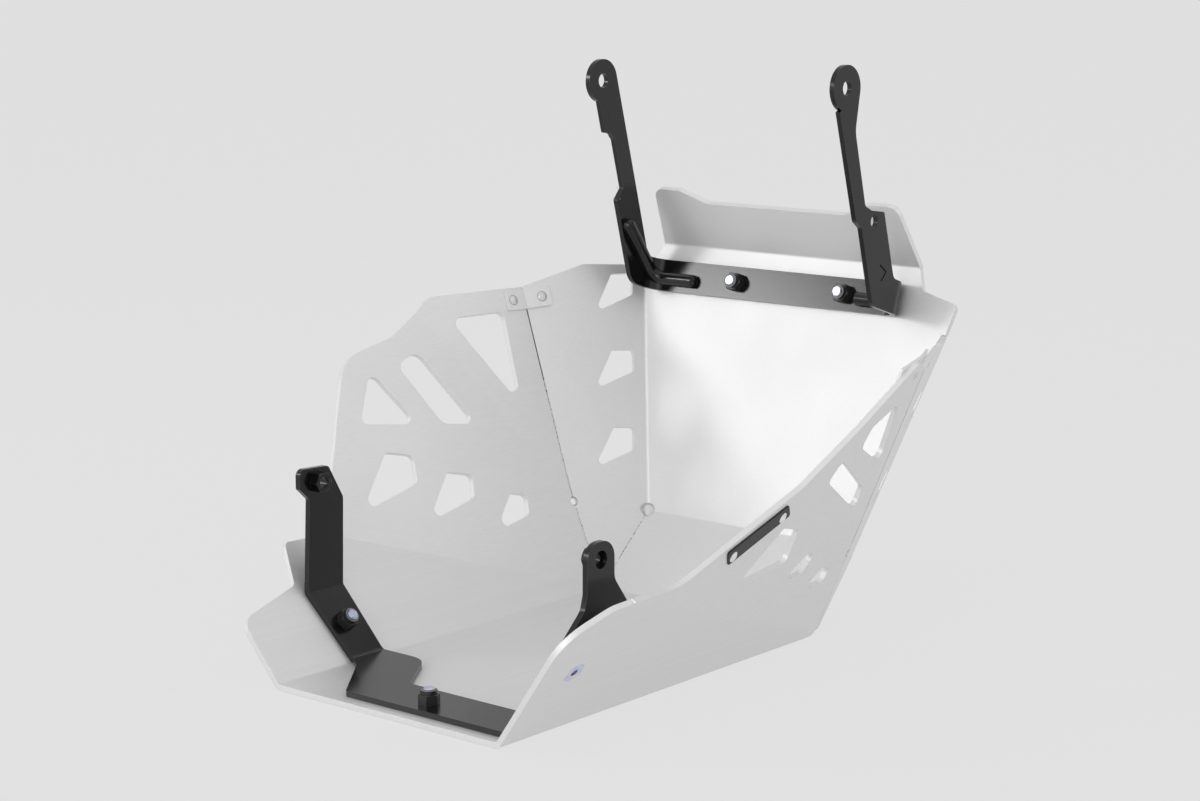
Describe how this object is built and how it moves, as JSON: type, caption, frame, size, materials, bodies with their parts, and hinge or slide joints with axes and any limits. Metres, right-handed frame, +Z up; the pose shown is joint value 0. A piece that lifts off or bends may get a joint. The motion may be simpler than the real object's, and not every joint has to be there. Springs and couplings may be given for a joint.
{
  "type": "motorcycle skid plate",
  "caption": "Folded sheet-metal engine guard with cut-out side walls and bolted steel mounting brackets.",
  "frame": {"origin": "middle of the flat bottom's outer face, half way between its rear edge and its front fold", "axes": "+Z up from the flat bottom, +Y forward towards the raised front panel, +X to the side that stands nearer in the picture"},
  "size_m": [0.3934, 0.4692, 0.409],
  "materials": {
    "sheet": "satin, faintly brushed",
    "joining_plate": "satin",
    "bracket": "satin black powder coat",
    "zinc": "zinc plated",
    "nut": "black",
    "rivet": "bright",
    "name_plate": "satin dark"
  },
  "bodies": {
    "root": {"skid_plate": "sheet", "upper_bracket": "bracket", "lower_bracket": "bracket", "left_joining_plate": "joining_plate", "right_joining_plate": "joining_plate", "name_plate": "name_plate", "left_weld_nut": "bracket", "right_weld_nut": "bracket", "upper_left_screw": "zinc", "upper_left_nut": "nut", "upper_right_screw": "zinc", "upper_right_nut": "nut", "bottom_screw": "zinc", "bottom_nut": "nut", "right_chamfer_screw": "zinc", "right_chamfer_nut": "nut", "left_chamfer_screw": "zinc", "left_chamfer_nut": "nut", "left_rear_rivet": "rivet", "left_front_rivet": "rivet", "right_rear_rivet": "rivet", "right_front_rivet": "rivet", "name_plate_rear_rivet": "rivet", "name_plate_front_rivet": "rivet"}
  },
  "joints": []
}
